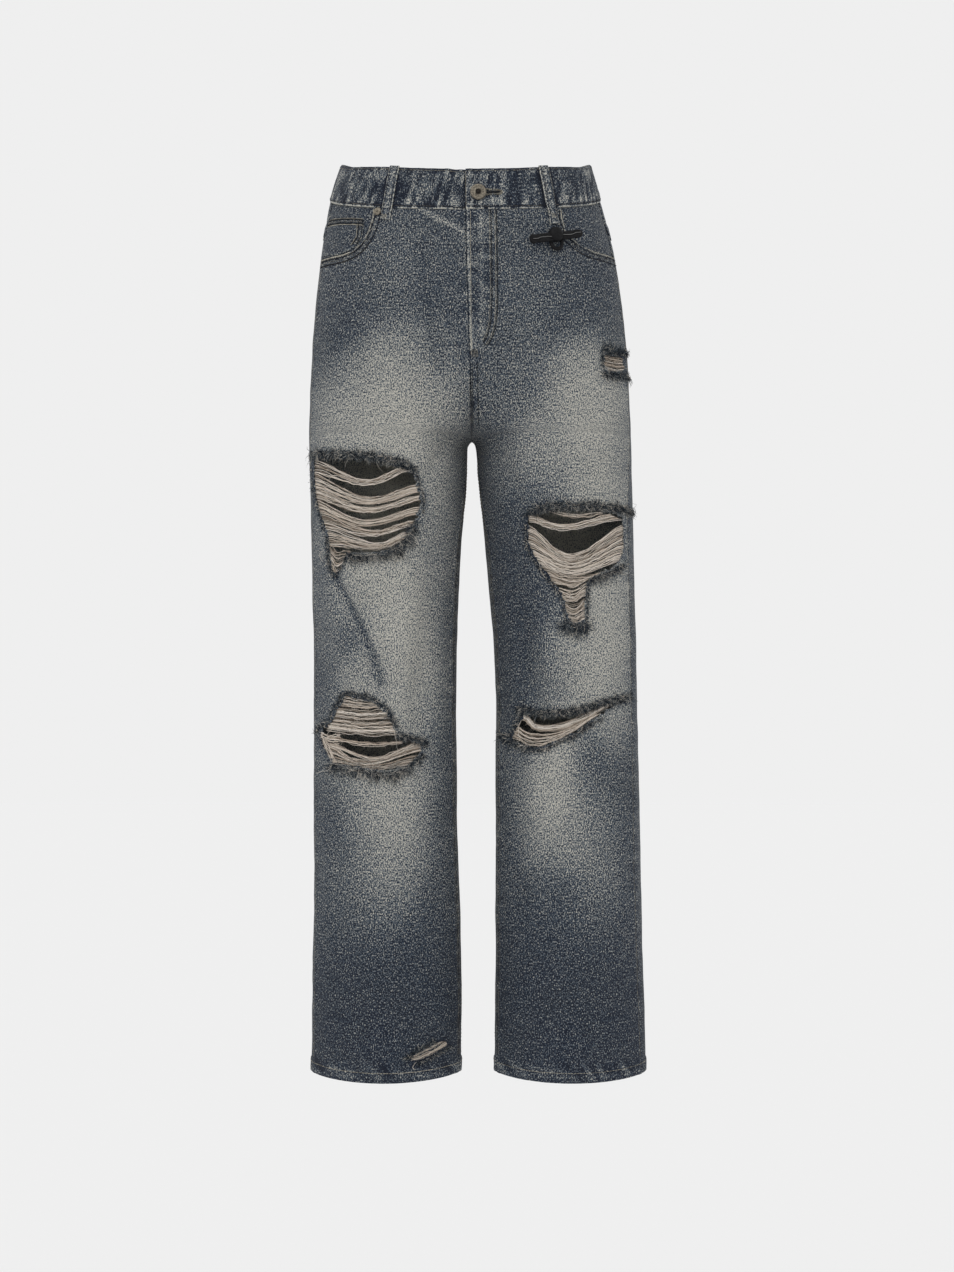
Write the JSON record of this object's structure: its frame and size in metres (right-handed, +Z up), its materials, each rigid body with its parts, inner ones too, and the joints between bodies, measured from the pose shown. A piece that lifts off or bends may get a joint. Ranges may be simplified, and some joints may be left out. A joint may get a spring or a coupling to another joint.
{
  "type": "ripped jeans",
  "caption": "Ripped wide-leg denim jeans, hollow and filled out as if worn, with open waist and hems, frayed rips, a fly with one button, and a black bar ornament.",
  "frame": {"origin": "centre of the waist, level with the top edge of the waistband at the sides, where the wearer's body holds the jeans up", "axes": "+Z up towards the waist; +Y towards the back of the garment, so the fly faces -Y; +X towards the wearer's left"},
  "size_m": [0.3944, 0.2583, 1.0748],
  "materials": {
    "denim": "faded blue-grey twill",
    "dark_denim": "unfaded blue-grey twill",
    "yarn": "bare cream weft yarns",
    "aged_metal": "aged, satin",
    "black_metal": "satin black"
  },
  "bodies": {
    "root": {"waistband": "dark_denim", "front_right": "denim", "front_left": "denim", "back_right": "denim", "back_left": "denim", "yoke_right": "denim", "yoke_left": "denim", "pocket_facing_right": "dark_denim", "pocket_facing_left": "dark_denim", "coin_pocket": "dark_denim", "fly": "denim", "back_pocket_right": "denim", "back_pocket_left": "denim", "belt_loop_front_right": "dark_denim", "belt_loop_front_left": "dark_denim", "belt_loop_back_right": "dark_denim", "belt_loop_back_left": "dark_denim", "belt_loop_centre_back": "dark_denim", "rip_yarns_right_thigh": "yarn", "rip_yarns_right_knee": "yarn", "rip_yarns_right_hem": "yarn", "rip_yarns_left_thigh": "yarn", "rip_yarns_left_knee": "yarn", "rip_yarns_left_hip": "yarn", "button": "aged_metal", "rivet_right": "aged_metal", "ornament_bar": "black_metal", "ornament_ring": "black_metal"}
  },
  "joints": []
}
